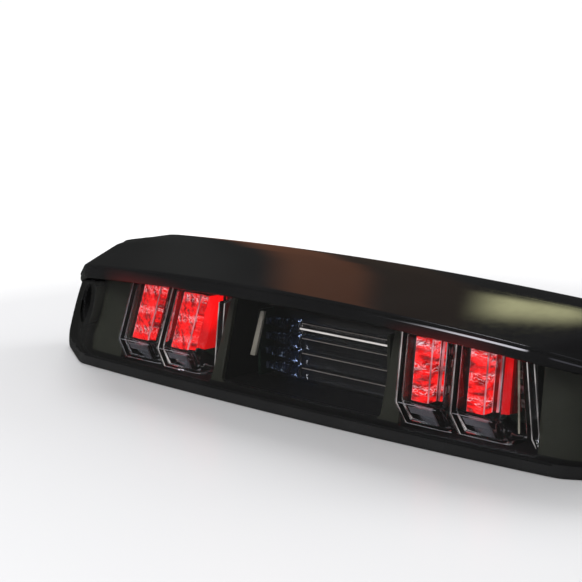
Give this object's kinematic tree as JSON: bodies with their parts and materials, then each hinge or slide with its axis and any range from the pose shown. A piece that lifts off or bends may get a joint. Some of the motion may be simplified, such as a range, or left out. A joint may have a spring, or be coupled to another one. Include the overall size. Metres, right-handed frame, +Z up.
{
  "type": "third brake light",
  "caption": "Wide low lamp: smoked lens under a gloss black visor, red light towers at both sides, stacked clear rods in the middle, rear housing with a sealing gasket.",
  "frame": {"origin": "under the middle of the lamp, halfway between the front of the visor lip and the back of the gasket, at the height of its lower edge", "axes": "+X along the lamp, +Y out of the back towards the cab, the lens faces -Y, +Z up"},
  "size_m": [0.4, 0.072, 0.07],
  "materials": {
    "gloss_black": "high gloss moulded black",
    "smoked_lens": "clear smoked polycarbonate, polished",
    "housing_black": "moulded black, light grain",
    "bezel_black": "satin dark grey",
    "clear_plastic": "clear polished",
    "red_optic": "red light guide with a pillow pattern, lit look",
    "rubber": "soft matt black",
    "board": "green circuit board",
    "led_white": "pale LED package",
    "steel": "plain steel",
    "beige_plastic": "pale beige board face",
    "wire_black": "black insulation"
  },
  "bodies": {
    "root": {"visor": "gloss_black", "outer_lens": "smoked_lens", "lens_seal": "rubber", "rear_housing": "housing_black", "inner_bezel": "bezel_black", "cargo_pocket": "bezel_black", "mounting_gasket": "rubber", "wire_grommet": "rubber", "breather_vent": "rubber", "screw_cup_left": "housing_black", "screw_cup_right": "housing_black", "screw_sleeve_left": "steel", "screw_sleeve_right": "steel", "brake_board_left": "board", "end_fin_left": "clear_plastic", "board_screw_left_1": "steel", "board_screw_left_2": "steel", "tower_cover_left_1": "clear_plastic", "tower_optic_left_1": "red_optic", "brake_led_left_1_1": "led_white", "brake_led_left_1_2": "led_white", "brake_led_left_1_3": "led_white", "tower_cover_left_2": "clear_plastic", "tower_optic_left_2": "red_optic", "brake_led_left_2_1": "led_white", "brake_led_left_2_2": "led_white", "brake_led_left_2_3": "led_white", "brake_board_right": "board", "end_fin_right": "clear_plastic", "board_screw_right_1": "steel", "board_screw_right_2": "steel", "tower_cover_right_1": "clear_plastic", "tower_optic_right_1": "red_optic", "brake_led_right_1_1": "led_white", "brake_led_right_1_2": "led_white", "brake_led_right_1_3": "led_white", "tower_cover_right_2": "clear_plastic", "tower_optic_right_2": "red_optic", "brake_led_right_2_1": "led_white", "brake_led_right_2_2": "led_white", "brake_led_right_2_3": "led_white", "cargo_rod_1": "clear_plastic", "cargo_collimator_1": "clear_plastic", "cargo_led_1": "led_white", "cargo_rod_2": "clear_plastic", "cargo_collimator_2": "clear_plastic", "cargo_led_2": "led_white", "cargo_rod_3": "clear_plastic", "cargo_collimator_3": "clear_plastic", "cargo_led_3": "led_white", "cargo_rod_4": "clear_plastic", "cargo_collimator_4": "clear_plastic", "cargo_led_4": "led_white", "cargo_board": "beige_plastic", "rod_end_plate": "bezel_black", "driver_board": "board", "connector_header": "housing_black", "harness_left": "wire_black", "harness_right": "wire_black", "harness_cargo": "wire_black"}
  },
  "joints": []
}
